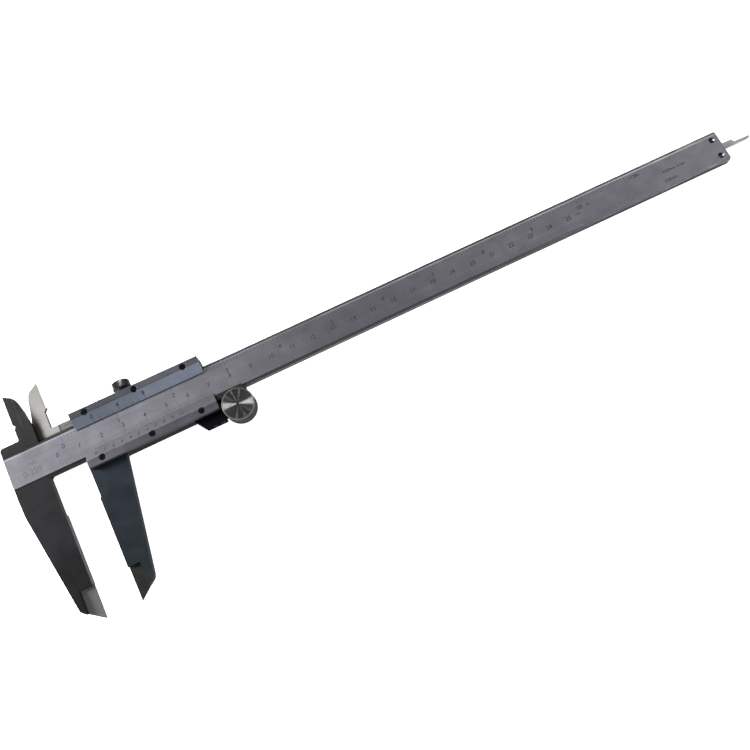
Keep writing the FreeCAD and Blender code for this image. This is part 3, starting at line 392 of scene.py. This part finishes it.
MAT = {
    "strip": steel("satin_scale_face", STRIP, rough=(0.38, 0.46), tint=lin(146, 144, 163), seed=1, mottle=0.06, grain_mix=0.045, bump=0.12, extra=worn_strip),
    "strip_bevel": steel("beam_edge_bevel", lin(66, 66, 70), metallic=0.35, rough=(0.4, 0.54), seed=2, mottle=0.14, grain_mix=0.16, extra=bevel_tone),
    "beam_side": wall("beam_side", lin(86, 86, 89), 3, extra=side_tone),
    "beam_back": steel("beam_back", lin(138, 138, 142), rough=(0.38, 0.5), seed=4, mottle=0.1, grain_mix=0.12),
    "jaw_dark": black_oxide("fixed_jaw_dark", lin(23, 22, 26), seed=5, spec=0.3, worn=0.05, mottle=0.12,
                            extra=lambda m, b: fade(m, fade(m, b, "Y", -12.0, -34.0, 0.7, 0.86), "Y", -32.0, -50.0, 1.0, 0.28)),
    "jaw_dark_side": wall("fixed_jaw_side", lin(34, 34, 36), 6),
    # The ground measuring face gets the dull wall finish and a darker colour: painted shade.
    "jaw_ground": wall("measuring_face", lin(76, 76, 78), 7, rough=(0.4, 0.5),
                       extra=lambda m, b: fade(m, b, "Y", -25.2, -26.2, 0.35, 1.0)),
    # The fixed nib is painted lighter towards its left side, a painted highlight that offsets the shade cast by the
    # step wall beside it.
    "nib_ground": steel("fixed_nib", lin(88, 88, 89), metallic=0.55, rough=(0.36, 0.48), grain="Y", seed=8, mottle=0.1,
                        extra=lambda m, b: fade(m, b, "X", -6.0, -3.2, 1.9, 1.0)),
    "inside_dark": black_oxide("fixed_inside_jaw", lin(26, 26, 27), seed=9, spec=0.3, worn=0.06, mottle=0.12, extra=inside_tone),
    "slider_wall": wall("slider_walls", lin(16, 18, 20), 10),
    "slider_jaw": black_oxide("moving_jaw_dark", lin(25, 32, 39), seed=11, spec=0.3, worn=0.05, mottle=0.12,
                              extra=lambda m, b: m.mix(m.span(m.axis("Y"), -56.5, -64.0, 0.0, 0.8), fade(m, fade(m, b, "Y", -14.0, -32.0, 1.12, 0.78), "Y", -36.0, -52.0, 1.0, 0.9), lin(28, 32, 32))),
    # Dull, non-reflecting copy of the moving jaw's finish for its side faces: painted shade.
    "jaw_wall": wall("moving_jaw_side", lin(40, 43, 46), 41),
    "slider_nib": black_oxide("moving_nib", lin(35, 36, 33), seed=12, spec=0.35, worn=0.08, metallic=0.8, mottle=0.12),
    "inside_bright": steel("moving_inside_jaw", lin(146, 144, 141), metallic=0.7, rough=(0.4, 0.52), grain="Y", seed=13, mottle=0.05, grain_mix=0.05, extra=bright_tone),
    "ledge": steel("ledge_scraped", lin(112, 109, 110), metallic=0.8, rough=(0.4, 0.6), grain="O", seed=14, mottle=0.22, grain_mix=0.3),
    "slider_back": steel("slider_back", lin(112, 112, 116), rough=(0.4, 0.52), seed=15, mottle=0.14),
    "blue_slope": steel("inch_plate_slope", lin(160, 168, 182), rough=(0.36, 0.46), seed=16, mottle=0.05, grain_mix=0.08, tint=lin(150, 160, 186),
                        extra=lambda m, b: fade(m, b, "X", 20.0, 76.0, 0.86, 1.2)),
    "blue_rail": steel("inch_plate_rail", lin(102, 103, 109), rough=(0.4, 0.52), seed=17, mottle=0.06, grain_mix=0.1,
                       extra=lambda m, b: fade(m, b, "X", 20.0, 76.0, 0.45, 0.7)),
    "grey_slope": steel("mm_plate_slope", lin(115, 114, 118), rough=(0.4, 0.52), seed=18, mottle=0.05, grain_mix=0.08, tint=lin(109, 106, 117),
                        extra=lambda m, b: fade(m, b, "X", 20.0, 76.0, 0.95, 0.8)),
    "grey_rail": steel("mm_plate_rail", lin(86, 85, 92), rough=(0.4, 0.52), seed=19, mottle=0.06, grain_mix=0.1),
    "plate_side": wall("plate_side", lin(58, 59, 63), 20),
    "screw": black_oxide("black_screws", lin(5, 5, 9), rough=(0.4, 0.55), seed=21, worn=0.04, metallic=0.1, spec=0.08),
    "bracket": black_oxide("black_bracket", lin(12, 14, 16), rough=(0.55, 0.75), seed=22, worn=0.01, metallic=0.0, spec=0.0),
    # The lip is a lighter, glossier copy of the bracket's black finish: painted light.
    "bracket_lip": black_oxide("bracket_lip", lin(32, 34, 34), rough=(0.4, 0.55), seed=23, worn=0.06, metallic=0.3, spec=0.15),
    "knurl": steel("knurled_steel", lin(77, 77, 77), rough=(0.28, 0.4), grain="Y", seed=24, mottle=0.2),
    "neck": black_oxide("lock_neck", lin(24, 24, 26), seed=25, worn=0.03, spec=0.05, metallic=0.2),
    "disc": turned("turned_disc", lin(98, 97, 97), rough=0.5, aniso=1.0, seed=26, streak=(0.35, 0.8, 0.95)),
    "disc_side": wall("roller_rim", lin(53, 51, 52), 27, spec=0.03, rough=(0.4, 0.55)),
    "disc_edge": wall("roller_edge", lin(84, 83, 82), 42, metallic=0.4, spec=0.2, rough=(0.36, 0.46)),
    "disc_dark": wall("roller_groove", lin(22, 22, 23), 28),
    "axle": steel("axle_steel", lin(170, 170, 172), rough=(0.26, 0.38), grain="Z", seed=29),
    "brass": steel("brass", lin(200, 170, 105), rough=(0.3, 0.45), grain="O", seed=30),
    "bronze": steel("spring_bronze", lin(180, 140, 95), rough=(0.32, 0.45), seed=31),
    "rod": steel("depth_rod_steel", lin(206, 206, 207), rough=(0.3, 0.42), seed=32, mottle=0.14),
    "stop": steel("end_plate", lin(109, 109, 112), rough=(0.4, 0.52), grain="Y", seed=33, mottle=0.15),
    "ink": ink("scale_ink", lin(30, 30, 38), 34),
    "ink_soft": ink("scale_ink_soft", lin(52, 52, 60), 35),
    # Bright seat finish, used only on one sector of the end screws' seats as a painted glint.
    "seat": steel("seat_painted_glint", lin(150, 150, 151), rough=(0.2, 0.3), grain="O", seed=44, mottle=0.05, scratches=0.0),
    "screw_gloss": black_oxide("glossy_screws", lin(30, 30, 32), rough=(0.18, 0.26), seed=43, worn=0.02, metallic=0.6, spec=1.0),
}


# ---------------------------------------------------------------- mesh helpers
def finish_piece(name, bm, mats, body, nodes=(), sharp=40.0, smooth=True, weighted=True):
    me = bpy.data.meshes.new(name)
    bm.normal_update()
    bm.to_mesh(me)
    bm.free()
    for k in mats:
        me.materials.append(MAT[k])
    o = bpy.data.objects.new(name, me)
    bpy.context.scene.collection.objects.link(o)
    if smooth:
        for p in me.polygons:
            p.use_smooth = True
        me.set_sharp_from_angle(angle=math.radians(sharp))
        if weighted:
            w = o.modifiers.new("weighted", "WEIGHTED_NORMAL")
            w.mode = "FACE_AREA"
            w.weight = 50
            w.keep_sharp = True
            dg = bpy.context.evaluated_depsgraph_get()
            dg.update()
            new = bpy.data.meshes.new_from_object(o.evaluated_get(dg), preserve_all_data_layers=True, depsgraph=dg)
            o.modifiers.clear()
            old = o.data
            o.data = new
            bpy.data.meshes.remove(old)
            new.name = name
    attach(o, body)
    for n in nodes:
        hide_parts(n)
    return o


def refine(node, mats, pick, body, width=0.12, segments=2, angle=24.0, skip=None, name=None, sharp=40.0):
    """A copy of a CAD node with its facets merged into clean faces and its edges broken by a small
    real bevel.  pick(centre, normal) gives the index of each face's material in mats."""
    bm = bmesh.new()
    bm.from_mesh(NODES[node].data)
    bmesh.ops.remove_doubles(bm, verts=bm.verts, dist=2e-6)
    bmesh.ops.dissolve_degenerate(bm, dist=1e-7, edges=bm.edges)
    bmesh.ops.dissolve_limit(bm, angle_limit=math.radians(0.8), verts=bm.verts, edges=bm.edges, delimit=set())
    bm.normal_update()
    edges = [e for e in bm.edges if len(e.link_faces) == 2 and e.calc_face_angle(0.0) > math.radians(angle)
             and not (skip and skip(D((e.verts[0].co + e.verts[1].co) / 2)))]
    if width:
        bmesh.ops.bevel(bm, geom=edges, offset=width * MM, offset_type="OFFSET", segments=segments,
                        profile=0.6, affect="EDGES", clamp_overlap=True, loop_slide=True, material=-1)
    bmesh.ops.remove_doubles(bm, verts=bm.verts, dist=1e-7)
    bm.normal_update()
    for f in bm.faces:
        f.material_index = pick(D(f.calc_center_median()), f.normal)
    return finish_piece(name or node + "_fine", bm, mats, body, [node], sharp=sharp)


def turned_piece(bm, profile, centre, axis="Z", count=96, ridge=None, pick=None):
    """Adds a body of revolution to bm.  profile is a list of (radius, height); a radius of 0 closes the
    end.  ridge(radius, height) gives the depth of the knurl at that ring."""
    rings = []
    for k, (r, h) in enumerate(profile):
        if r <= 1e-9:
            p = Vector((0, 0, h))
            rings.append([bm.verts.new(p)])
            continue
        depth = ridge(k) if ridge else 0.0
        ring = []
        for i in range(count):
            a = 2 * math.pi * i / count
            rr = r - (depth if i % 2 else 0.0)
            ring.append(bm.verts.new(Vector((rr * math.cos(a), rr * math.sin(a), h))))
        rings.append(ring)
    new_faces = []
    for k in range(len(rings) - 1):
        a, b = rings[k], rings[k + 1]
        for i in range(count):
            j = (i + 1) % count
            if len(a) == 1 and len(b) == 1:
                continue
            if len(a) == 1:
                f = bm.faces.new((a[0], b[j], b[i]))
            elif len(b) == 1:
                f = bm.faces.new((a[i], a[j], b[0]))
            else:
                f = bm.faces.new((a[i], a[j], b[j], b[i]))
            f.material_index = pick(k) if pick else 0
            new_faces.append(f)
    for ring in rings:
        for v in ring:
            x, y, z = v.co
            if axis == "Y":
                v.co = P(centre[0] + x, centre[1] + z, centre[2] - y)
            else:
                v.co = P(centre[0] + x, centre[1] + y, centre[2] + z)
    bmesh.ops.recalc_face_normals(bm, faces=new_faces)


# ---------------------------------------------------------------- beam
def pick_beam(c, n):
    x, y, z = c
    on_strip = abs(y) < 8.01
    if n.z < -0.9:
        return 3
    if on_strip and n.z > 0.9 and z > -0.1:
        return 0
    if on_strip and z > -0.75 and n.z > 0.3:
        return 1
    if y < -57.3 and n.z > 0.5 and z < -1.7 and x > -6.4:
        return 7
    if y < -8.01:
        if abs(x) < 0.6 and n.x > 0.9:
            return 6
        if n.z > 0.5:
            return 4
        return 5
    if y > 8.01 and x < 0.7:
        if n.x < -0.8 and x < -6.5 and y > 12.5:
            return 5
        return 8
    return 2


refine("main_beam",
       ["strip", "strip_bevel", "beam_side", "beam_back", "jaw_dark", "jaw_dark_side", "jaw_ground", "nib_ground", "inside_dark"],
       pick_beam, "beam", width=0.13)
refine("end_stop_plate", ["stop"], lambda c, n: 0, "beam", width=0.15)


# ---------------------------------------------------------------- slider
def pick_slider(c, n):
    x, y, z = c
    if y < -13.2 or (y < -8.1 and z < -0.3 and n.z > 0.9 and x < 35):
        if y < -57.3 and n.z > 0.5 and z < -1.7:
            return 2
        if abs(x - 15.7) < 0.7 and n.x < -0.9 and y < -20:
            return 6
        if n.z < -0.9:
            return 5
        return 1 if n.z > 0.5 else 7
    if y > 12.05 and x < 17.2:
        if n.z < -0.9:
            return 5
        return 3 if n.z > 0.3 or y > 21.0 else 7
    if y > 8.0 and x < 17.2 and n.z > 0.5:
        return 3
    if n.z < -0.9:
        return 5
    return 0


refine("slider_frame",
       ["slider_wall", "slider_jaw", "slider_nib", "inside_bright", "ledge", "slider_back", "jaw_ground", "jaw_wall"],
       pick_slider, "slider", width=0.13)


def pick_plate(c, n):
    x, y, z = c
    if n.z > 0.95 and abs(y) > 9.6:
        return 1
    if n.z > 0.7:
        return 0
    return 2


refine("inch_vernier_plate", ["blue_slope", "blue_rail", "plate_side"], pick_plate, "slider", width=0.1)
refine("mm_vernier_plate", ["grey_slope", "grey_rail", "plate_side"], pick_plate, "slider", width=0.1)
refine("roller_bracket", ["bracket", "bracket_lip"],
       lambda c, n: 1 if c[2] > 0.1 and c[1] > -9.3 else 0, "slider", width=0.15)
refine("depth_rod", ["rod"], lambda c, n: 0, "slider", width=0.12)

# ---------------------------------------------------------------- thumb roller
bm = bmesh.new()
prof = [(0, 3.02), (1.27, 3.02), (1.27, 1.15), (6.65, 1.15), (6.85, 1.15), (7.1, 1.4), (7.1, 3.92), (6.98, 4.1), (6.82, 4.2),
        (6.6, 4.2), (6.45, 4.13), (6.25, 4.15), (4.0, 4.05), (2.0, 3.97), (0.45, 3.92), (0.3, 3.82), (0.12, 3.65), (0, 3.62)]
turned_piece(bm, prof, (RX, RY, 0), "Z", 144, ridge=lambda k: 0.08 if k in (5, 6) else 0.0,
             pick=lambda k: 1 if k in (4, 5) else (2 if k < 4 else (3 if k in (6, 7, 8) else 0)))
finish_piece("thumb_disc_turned", bm, ["disc", "disc_side", "disc_dark", "disc_edge"], "roller", ["thumb_disc"], sharp=30)

bm = bmesh.new()
prof = [(1.27, -6.2), (6.95, -6.2), (7.2, -5.95), (7.2, -4.4), (6.95, -4.15), (6.92, -4.15), (6.92, -1.25), (6.77, -1.1), (1.27, -1.1), (1.27, -6.2)]
turned_piece(bm, prof, (RX, RY, 0), "Z", 144, ridge=lambda k: 0.08 if k in (2, 3) else (0.1 if k in (5, 6) else 0.0),
             pick=lambda k: 0 if k in (0, 7) else (2 if k in (8,) else 1))
bmesh.ops.remove_doubles(bm, verts=bm.verts, dist=1e-7)
finish_piece("drive_roller_turned", bm, ["disc", "disc_side", "disc_dark"], "roller", ["drive_roller"], sharp=30)

# ---------------------------------------------------------------- end stop screws, domed, in coned seats
bm = bmesh.new()
for sy in (4.3, -4.3):
    prof = [(0, -6.2), (0.95, -6.2), (0.95, -1.1), (1.38, -1.1), (1.38, -0.04), (0.96, -0.6), (0.92, -0.42), (0.78, -0.24),
            (0.5, -0.11), (0.25, -0.06), (0, -0.05)]
    turned_piece(bm, prof, (336.9, sy, 0.0), "Z", 48)
# Painted highlight: only the lower-right sector of each coned seat gets the bright seat finish, where the glint shows;
# the rest stays black.
for f in bm.faces:
    x, y, z = D(f.calc_center_median())
    dy = y - (4.3 if y > 0 else -4.3)
    turn = math.degrees(math.atan2(dy, x - 336.9))
    if z > -0.55 and math.hypot(x - 336.9, dy) > 1.0 and f.normal.z > 0.2 and -95 < turn < 5:
        f.material_index = 1
finish_piece("end_screws_domed", bm, ["screw_gloss", "seat"], "beam", ["end_stop_screws"], sharp=28)

# ---------------------------------------------------------------- lock screw
bm = bmesh.new()
prof = [(0, 10.35), (1.2, 10.35), (1.5, 10.65), (1.5, 13.2), (3.35, 13.2), (3.5, 13.35), (3.5, 14.7), (3.8, 14.7),
        (4.0, 14.9), (4.0, 17.65), (3.65, 18.0), (2.4, 18.0), (2.2, 17.8), (0, 17.8)]
turned_piece(bm, prof, (41.2, 0, -2.0), "Y", 96, ridge=lambda k: 0.22 if k in (8, 9) else 0.0,
             pick=lambda k: 1 if k < 7 else 0)
finish_piece("lock_screw_knurled", bm, ["knurl", "neck"], "screw", ["lock_screw"], sharp=30)


# ---------------------------------------------------------------- scales
def slope_z(y):
    return 0.5 + (abs(y) - 5.35) * 2.5 / 4.3


PROUD = 0.018


def bar(bm, x, y0, y1, w, surf=lambda y: 0.0, mat=0, proud=PROUD):
    """One graduation line: a thin closed bar standing on the surface."""
    pts = []
    for y in (y0, y1):
        for dx in (-w / 2, w / 2):
            for h in (-0.05, proud):
                pts.append(bm.verts.new(P(x + dx, y, surf(y) + h)))
    a, b, c, d, e, f, g, h = pts
    for q in ((a, c, d, b), (e, f, h, g), (a, b, f, e), (c, g, h, d), (b, d, h, f), (a, e, g, c)):
        face = bm.faces.new(q)
        face.material_index = mat


def glyphs(bm, text, x, y, height, surf=lambda y: 0.0, mat=1, shear=0.12, weight=0.03, proud=PROUD, spacing=1.0):
    """Text centred at x, y, its capitals height millimetres tall, lying on the surface."""
    cu = bpy.data.curves.new("t", "FONT")
    cu.body = text
    cu.align_x = "CENTER"
    cu.align_y = "CENTER"
    cu.size = height / 0.73
    cu.shear = shear
    cu.offset = weight
    cu.space_character = spacing
    cu.resolution_u = 3
    cu.extrude = 0.5
    o = bpy.data.objects.new("t", cu)
    bpy.context.scene.collection.objects.link(o)
    dg = bpy.context.evaluated_depsgraph_get()
    me = bpy.data.meshes.new_from_object(o.evaluated_get(dg))
    t = bmesh.new()
    t.from_mesh(me)
    bmesh.ops.remove_doubles(t, verts=t.verts, dist=1e-5)
    ys = [v.co.y for v in t.verts]
    xs = [v.co.x for v in t.verts]
    cy, cx = (max(ys) + min(ys)) / 2, (max(xs) + min(xs)) / 2
    made = {}
    for v in t.verts:
        px, py = x + v.co.x - cx, y + v.co.y - cy
        made[v.index] = bm.verts.new(P(px, py, surf(py) + (proud if v.co.z > 0 else -0.05)))
    for f in t.faces:
        try:
            nf = bm.faces.new([made[v.index] for v in f.verts])
        except ValueError:
            continue
        nf.material_index = mat
    t.free()
    bpy.data.meshes.remove(me)
    bpy.data.objects.remove(o)
    bpy.data.curves.remove(cu)


def marks(name, build, body):
    bm = bmesh.new()
    build(bm)
    me = bpy.data.meshes.new(name)
    bm.normal_update()
    bm.to_mesh(me)
    bm.free()
    me.materials.append(MAT["ink_soft"])
    me.materials.append(MAT["ink"])
    o = bpy.data.objects.new(name, me)
    bpy.context.scene.collection.objects.link(o)
    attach(o, body)
    return o


def mm_scale(bm):
    for k in range(0, 297):
        x = 6.0 + k
        y1 = -2.6 if k % 10 == 0 else (-3.2 if k % 5 == 0 else -3.8)
        bar(bm, x, -6.2, y1, 0.18)
    for k in range(0, 26):
        glyphs(bm, str(k), 6.0 + 10 * k, -0.9, 2.1, weight=0.05)
    glyphs(bm, "mm", 261.2, -0.9, 1.2)


def inch_scale(bm):
    for k in range(0, 11 * 16 + 1):
        x = 9.8 + k * 25.4 / 16
        y1 = 3.5 if k % 16 == 0 else (4.0 if k % 8 == 0 else (4.4 if k % 4 == 0 else (4.7 if k % 2 == 0 else 5.0)))
        bar(bm, x, y1, 6.4, 0.2)
    for k in range(0, 11):
        glyphs(bm, str(k), 9.8 + 25.4 * k - 0.2, 1.7, 2.1, weight=0.05)
    glyphs(bm, "in", 267.8, 1.8, 1.3)
    glyphs(bm, "1/128in", 294.0, 4.3, 1.5)
    glyphs(bm, "0.05mm", 309.4, -4.3, 1.5)
    glyphs(bm, "0-250mm  0-10in", 313.5, 0.1, 1.25, shear=0.0)
    glyphs(bm, "0-250", -6.0, -2.9, 2.6, shear=0.0, mat=0, weight=0.0)
    glyphs(bm, "mm", -5.0, 0.6, 2.0, shear=0.0, mat=0, weight=0.0)


def mm_vernier(bm):
    for k in range(0, 21):
        x = 21.7 + 1.95 * k
        y1 = -6.9 if k % 2 == 0 else -6.5
        bar(bm, x, y1, -5.42, 0.2, lambda y: slope_z(y))
    for k in range(0, 11):
        glyphs(bm, str(k), 21.7 + 3.9 * k, -7.8, 1.55, lambda y: slope_z(y), weight=0.07)


def inch_vernier(bm):
    for k in range(0, 9):
        x = 25.5 + 2.975 * k
        y1 = 6.9 if k % 4 == 0 else 6.5
        bar(bm, x, 5.42, y1, 0.18, lambda y: slope_z(y))
    for k, t in ((0, "0"), (4, "4"), (8, "8")):
        glyphs(bm, t, 25.5 + 2.975 * k, 7.9, 1.7, lambda y: slope_z(y), weight=0.05)


marks("mm_scale_marks", mm_scale, "beam")
marks("inch_scale_marks", inch_scale, "beam")
marks("mm_vernier_marks", mm_vernier, "slider")
marks("inch_vernier_marks", inch_vernier, "slider")


# ---------------------------------------------------------------- carried-over CAD nodes
def paint(node, key):
    me = NODES[node].data
    me.materials.clear()
    me.materials.append(MAT[key])


for node, key in (("inch_plate_screws", "screw"), ("mm_plate_screws", "screw"),
                  ("bracket_screws", "screw"), ("gib_set_screws", "screw"), ("gib_strip", "bronze"),
                  ("lock_pad", "brass"), ("roller_axle", "axle"), ("roller_washer", "axle"),
                  ("roller_bush", "brass"), ("depth_rod_rivets", "rod")):
    paint(node, key)

# ---------------------------------------------------------------- floor, world, lights, camera
bm = bmesh.new()
N, R = 64, 12.0
ring = [bm.verts.new((R * math.cos(2 * math.pi * i / N), R * math.sin(2 * math.pi * i / N), -0.0002)) for i in range(N)]
bm.faces.new(ring)
me = bpy.data.meshes.new("studio_floor")
bm.to_mesh(me)
bm.free()
floor = bpy.data.objects.new("studio_floor", me)
bpy.context.scene.collection.objects.link(floor)
fm = Mat("floor_white")
n1 = fm.noise(0.004, 3.0, 0.5, 50)
fm.set(Base_Color=fm.mix(n1, lin(246, 246, 246), lin(250, 250, 250)), Roughness=0.9)
fm.b.inputs["Emission Color"].default_value = (1, 1, 1, 1)
fm.b.inputs["Emission Strength"].default_value = 0.85
fm.b.inputs["Specular IOR Level"].default_value = 0.1
me.materials.append(fm.mat)

world = bpy.data.worlds.new("studio")
bpy.context.scene.world = world
world.use_nodes = True
wt = world.node_tree
wt.nodes.clear()
w_out = wt.nodes.new("ShaderNodeOutputWorld")
w_bg = wt.nodes.new("ShaderNodeBackground")
wt.links.new(w_bg.outputs[0], w_out.inputs[0])
w_tc = wt.nodes.new("ShaderNodeTexCoord")
w_sep = wt.nodes.new("ShaderNodeSeparateXYZ")
wt.links.new(w_tc.outputs["Generated"], w_sep.inputs[0])


def w_range(fac, a, b, lo, hi, smooth=True):
    n = wt.nodes.new("ShaderNodeMapRange")
    if smooth:
        n.interpolation_type = "SMOOTHSTEP"
    n.inputs["From Min"].default_value = a
    n.inputs["From Max"].default_value = b
    for s, v in (("To Min", lo), ("To Max", hi)):
        n.inputs[s].default_value = v
    n.clamp = True
    wt.links.new(fac, n.inputs["Value"])
    return n.outputs[0]


def w_mix(fac, a, b):
    n = wt.nodes.new("ShaderNodeMix")
    n.data_type = "RGBA"
    wt.links.new(fac, n.inputs[0])
    for s, v in ((6, a), (7, b)):
        if isinstance(v, bpy.types.NodeSocket):
            wt.links.new(v, n.inputs[s])
        else:
            n.inputs[s].default_value = v
    return n.outputs[2]


SIDE_AXIS = (0.967, -0.2475, 0.0)
dot = wt.nodes.new("ShaderNodeVectorMath")
dot.operation = "DOT_PRODUCT"
wt.links.new(w_tc.outputs["Generated"], dot.inputs[0])
dot.inputs[1].default_value = SIDE_AXIS
absd = wt.nodes.new("ShaderNodeMath")
absd.operation = "ABSOLUTE"
wt.links.new(dot.outputs["Value"], absd.inputs[0])
side = w_mix(w_range(absd.outputs[0], 0.4, 0.9, 0.0, 1.0), (0.14, 0.15, 0.17, 1), (1.2, 1.19, 1.17, 1))
top = w_mix(w_range(w_sep.outputs[0], -0.32, 0.12, 0.0, 1.0, True), (0.62, 0.62, 0.635, 1), (0.27, 0.27, 0.285, 1))
sky = w_mix(w_range(w_sep.outputs[2], 0.45, 0.9, 0.0, 1.0), side, top)
sky = w_mix(w_range(w_sep.outputs[2], 0.0, 0.12, 0.0, 1.0), (1.0, 1.0, 1.0, 1), sky)
wt.links.new(sky, w_bg.inputs[0])
w_bg.inputs[1].default_value = 1.0


def softbox(name, at, size, power, towards=(0, 0, 0), colour=(1, 1, 1)):
    li = bpy.data.lights.new(name, "AREA")
    li.shape = "RECTANGLE"
    li.size, li.size_y = size
    li.energy = power
    li.color = colour
    o = bpy.data.objects.new(name, li)
    bpy.context.scene.collection.objects.link(o)
    o.location = at
    o.rotation_mode = "QUATERNION"
    o.rotation_quaternion = (Vector(towards) - Vector(at)).to_track_quat("-Z", "Y")
    return o


softbox("softbox_left", (-1.45, 0.75, 0.72), (0.6, 0.7), 82.0, colour=(1.0, 0.99, 0.98))
softbox("softbox_right", (1.75, 0.3, 1.0), (0.6, 0.6), 2.0, colour=(1.0, 0.99, 0.98))
softbox("strip_a", (0.22, 1.1, 0.82), (0.03, 0.03), 2.2)
softbox("strip_b", (-0.28, 1.19, 0.71), (0.03, 0.03), 2.2)
softbox("kicker", (0.85, -1.0, 0.75), (0.08, 0.08), 4.0)

cam_data = bpy.data.cameras.new("camera")
cam = bpy.data.objects.new("camera", cam_data)
bpy.context.scene.collection.objects.link(cam)
cam_data.sensor_width = 36.0
cam_data.lens = 36.9202
cam_data.clip_start, cam_data.clip_end = 0.01, 50.0
cam_data.dof.use_dof = False
rows = ((0.898511, -0.438934, 0.00392), (0.425698, 0.873525, 0.236083), (-0.107049, -0.210454, 0.971725))
rot = Matrix(rows).transposed().to_4x4()
cam.matrix_world = Matrix.Translation(P(107.178, -99.572, 327.546)) @ rot
bpy.context.scene.camera = cam
bpy.context.scene.view_settings.view_transform = "Standard"
bpy.context.scene.view_settings.look = "None"

bpy.context.view_layer.update()
